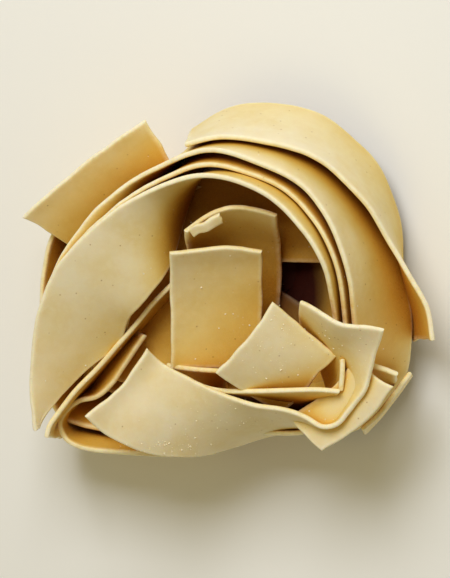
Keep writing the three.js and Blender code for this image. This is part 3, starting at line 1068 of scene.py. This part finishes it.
    # Matt, and a little smoother where the rollers polished it.
    roughness = add(tree, "ShaderNodeValToRGB", {0: mottling}, stops=[(0.3, 0.55), (0.7, 0.75)])
    shader = add(
        tree,
        "ShaderNodeBsdfPrincipled",
        {
            "Base Color": colour,
            "Roughness": roughness,
            "Normal": bump,
            "IOR": 1.46,
            "Subsurface Weight": 0.3,
            "Subsurface Radius": (1.0, 0.74, 0.26),
            "Subsurface Scale": 1.4 * MM,
            "Specular IOR Level": 0.35,
        },
    )
    add(tree, "ShaderNodeOutputMaterial", {"Surface": shader})
    return material


def durum_flour(nest):
    """Durum flour and broken dough: dull, nearly white grains."""
    material, tree = new_material("durum_flour")
    place = add(tree, "ShaderNodeTexCoord", output="Object")
    # From grain to grain, about 2 mm apart, the colour changes.
    blotches = add(tree, "ShaderNodeTexNoise", {"Vector": place, "Scale": per_metre(2.0)})
    colour = add(
        tree,
        "ShaderNodeMix",
        {
            "data_type": "RGBA",
            FACTOR: blotches,
            FIRST: linear(nest.edge_colour),
            SECOND: linear(nest.flour_colour),
        },
        MIXED,
    )
    shader = add(
        tree, "ShaderNodeBsdfPrincipled", {"Base Color": colour, "Roughness": 0.9, "IOR": 1.45}
    )
    add(tree, "ShaderNodeOutputMaterial", {"Surface": shader})
    return material


def matt_board(colour):
    """A matt painted board: an even, pale ground with the faintest tooth, 1.5 mm apart."""
    material, tree = new_material("matt_board")
    place = add(tree, "ShaderNodeTexCoord", output="Object")
    tooth = add(tree, "ShaderNodeTexNoise", {"Vector": place, "Scale": per_metre(1.5)})
    bump = add(tree, "ShaderNodeBump", {"Strength": 0.05, "Distance": 0.05 * MM, "Height": tooth})
    shader = add(
        tree,
        "ShaderNodeBsdfPrincipled",
        {"Base Color": linear(colour), "Roughness": 0.85, "Normal": bump},
    )
    add(tree, "ShaderNodeOutputMaterial", {"Surface": shader})
    return material


# ---- Stage ----
def add_floor(context, stage):
    corners = [(FLOOR_HALF * x, FLOOR_HALF * y, 0) for x, y in FLOOR_CORNERS]
    mesh = bpy.data.meshes.new("floor")
    mesh.from_pydata(corners, [], [(0, 1, 2, 3)])
    mesh.materials.append(matt_board(stage.floor_colour))
    floor = add_object(context, "floor", mesh)


def add_camera(context, stage, middle, axes):
    data = bpy.data.cameras.new("camera")
    data.sensor_width = SENSOR
    data.lens = SENSOR * stage.camera_distance / stage.view_height
    data.clip_start, data.clip_end = CLIP
    camera = add_object(context, "camera", data)
    away = axes @ Vector((0, 0, stage.camera_distance))
    camera.matrix_world = Matrix.Translation(middle + away) @ axes.to_4x4()
    context.scene.camera = camera


def add_key_light(context, stage, middle, axes):
    """A large square light, turned to the nest."""
    light = bpy.data.lights.new("key", "AREA")
    light.energy = stage.key_power
    light.size = KEY_SIZE
    key = add_object(context, "key", light)
    key.location = middle + axes @ Vector(KEY_PLACE)
    key.rotation_mode = "QUATERNION"
    key.rotation_quaternion = (middle - key.location).to_track_quat("-Z", "Y")


def add_fill(context, stage):
    """Even light from all sides."""
    world = bpy.data.worlds.new("studio")
    context.scene.world = world
    world.use_nodes = True
    background = world.node_tree.nodes["Background"]
    background.inputs["Color"].default_value = linear(stage.fill_colour)
    background.inputs["Strength"].default_value = stage.fill_strength


# ---- Operators ----
class PASTA_OT_upper_coil(bpy.types.Operator):
    """Three turns of ribbon around the hollow"""

    bl_idname = "pasta.upper_coil"
    bl_label = "Upper coil"

    def execute(self, context):
        turn = upper_turn()
        width = context.scene.pasta_nest.ribbon_width / MM
        for name in UPPER_RIBBONS:
            add_ribbon(context, upper_ribbon(turn, name, width))
        return {"FINISHED"}


class PASTA_OT_lower_coil(bpy.types.Operator):
    """The turns that carry the upper coil"""

    bl_idname = "pasta.lower_coil"
    bl_label = "Lower coil"

    def execute(self, context):
        width = context.scene.pasta_nest.ribbon_width / MM
        for name in LOWER_COILS:
            add_ribbon(context, lower_ribbon(name, width))
        return {"FINISHED"}


class PASTA_OT_front_band(bpy.types.Operator):
    """The wide band that folds over the front and turns up at the right"""

    bl_idname = "pasta.front_band"
    bl_label = "Front band"

    def execute(self, context):
        add_ribbon(context, loose_ribbon("front_band"))
        return {"FINISHED"}


class PASTA_OT_loose_ends(bpy.types.Operator):
    """The loose ends outside the coil and the short strips at the right"""

    bl_idname = "pasta.loose_ends"
    bl_label = "Loose ends"

    def execute(self, context):
        for name in LOOSE_ENDS:
            add_ribbon(context, loose_ribbon(name))
        return {"FINISHED"}


class PASTA_OT_uprights(bpy.types.Operator):
    """The two broad cut ends that show in the hollow, one with a curled chip"""

    bl_idname = "pasta.uprights"
    bl_label = "Upright strips"

    def execute(self, context):
        for name in UPRIGHTS:
            add_ribbon(context, loose_ribbon(name))
        return {"FINISHED"}


class PASTA_OT_inner_folds(bpy.types.Operator):
    """The folded ribbons in the lower left corner of the hollow"""

    bl_idname = "pasta.inner_folds"
    bl_label = "Inner folds"

    def execute(self, context):
        for name in INNER_FOLDS:
            add_ribbon(context, loose_ribbon(name))
        return {"FINISHED"}


class PASTA_OT_bottom_strips(bpy.types.Operator):
    """The crossed strips at the bottom of the nest"""

    bl_idname = "pasta.bottom_strips"
    bl_label = "Bottom strips"

    def execute(self, context):
        for name in BOTTOM_STRIPS:
            add_ribbon(context, bottom_ribbon(name))
        return {"FINISHED"}


class PASTA_OT_crumbs(bpy.types.Operator):
    """Crumbs of dough and grains of flour that lie on the ribbons"""

    bl_idname = "pasta.crumbs"
    bl_label = "Crumbs"

    def execute(self, context):
        nest = context.scene.pasta_nest
        rng = np.random.default_rng(nest.seed)
        corners, sides = icosahedron()
        context.view_layer.update()
        graph = context.evaluated_depsgraph_get()
        towards = Vector(EYE_FRAME[:, 2])
        points, faces = [], []
        for u, v, reach_u, reach_v, share in CRUMB_PATCHES:
            for _ in range(round(share * nest.crumb_count)):
                place = rng.normal((u, v, ABOVE), (reach_u, reach_v, 0))
                eye = Vector(EYE_FRAME @ place - np.array(NEST_CENTRE)) * MM
                hit, spot, normal, _, piece, _ = context.scene.ray_cast(graph, eye, -towards)
                if not hit or piece.get(CRUMBS_LIE_ON) is None:
                    continue
                smallest, largest = CRUMB_RADII
                radius = smallest * (largest / smallest) ** (rng.random() ** 2) * MM
                shape = corners * rng.uniform(*CRUMB_CORNERS, (len(corners), 1)) * radius
                centre = np.array(spot + normal * radius * CRUMB_LIFT)
                faces += (sides + len(points)).tolist()
                points += (shape + centre).tolist()
        if not points:
            raise RuntimeError("no crumb met a ribbon")
        mesh = bpy.data.meshes.new("crumbs")
        mesh.from_pydata(points, [], faces)
        mesh.materials.append(durum_flour(nest))
        crumbs = add_object(context, "crumbs", mesh)
        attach(crumbs, "root")
        return {"FINISHED"}


class PASTA_OT_stage(bpy.types.Operator):
    """Floor, lights and camera"""

    bl_idname = "pasta.stage"
    bl_label = "Stage"

    def execute(self, context):
        stage = context.scene.pasta_stage
        aim = (*AIM, towards_eye(0, 0, RIM_HEIGHT))
        middle = Vector(EYE_FRAME @ np.array(aim) - np.array(NEST_CENTRE)) * MM
        axes = Matrix(EYE_FRAME.tolist())
        add_floor(context, stage)
        add_camera(context, stage, middle, axes)
        add_key_light(context, stage, middle, axes)
        add_fill(context, stage)
        context.scene.view_settings.view_transform = "Standard"
        return {"FINISHED"}


class PASTA_PT_nest(bpy.types.Panel):
    """Lists the steps that build the nest"""

    bl_idname = "PASTA_PT_nest"
    bl_label = "Pasta Nest"
    bl_space_type = "VIEW_3D"
    bl_region_type = "UI"
    bl_category = "Pasta Nest"

    def draw(self, context):
        column = self.layout.column()
        for operator in OPERATORS:
            column.operator(operator.bl_idname)
        for settings in (context.scene.pasta_nest, context.scene.pasta_stage):
            for name in settings.__annotations__:
                column.prop(settings, name)


OPERATORS = (
    PASTA_OT_stage,
    PASTA_OT_upper_coil,
    PASTA_OT_lower_coil,
    PASTA_OT_front_band,
    PASTA_OT_loose_ends,
    PASTA_OT_uprights,
    PASTA_OT_inner_folds,
    PASTA_OT_bottom_strips,
    PASTA_OT_crumbs,
)
CLASSES = (PastaNestSettings, PastaStageSettings, *OPERATORS, PASTA_PT_nest)


def register():
    for cls in CLASSES:
        bpy.utils.register_class(cls)
    bpy.types.Scene.pasta_nest = bpy.props.PointerProperty(type=PastaNestSettings)
    bpy.types.Scene.pasta_stage = bpy.props.PointerProperty(type=PastaStageSettings)


def unregister():
    del bpy.types.Scene.pasta_stage
    del bpy.types.Scene.pasta_nest
    for cls in reversed(CLASSES):
        bpy.utils.unregister_class(cls)


def main():
    register()
    for operator in OPERATORS:
        group, name = operator.bl_idname.split(".")
        getattr(getattr(bpy.ops, group), name)()


if __name__ == "__main__":
    main()
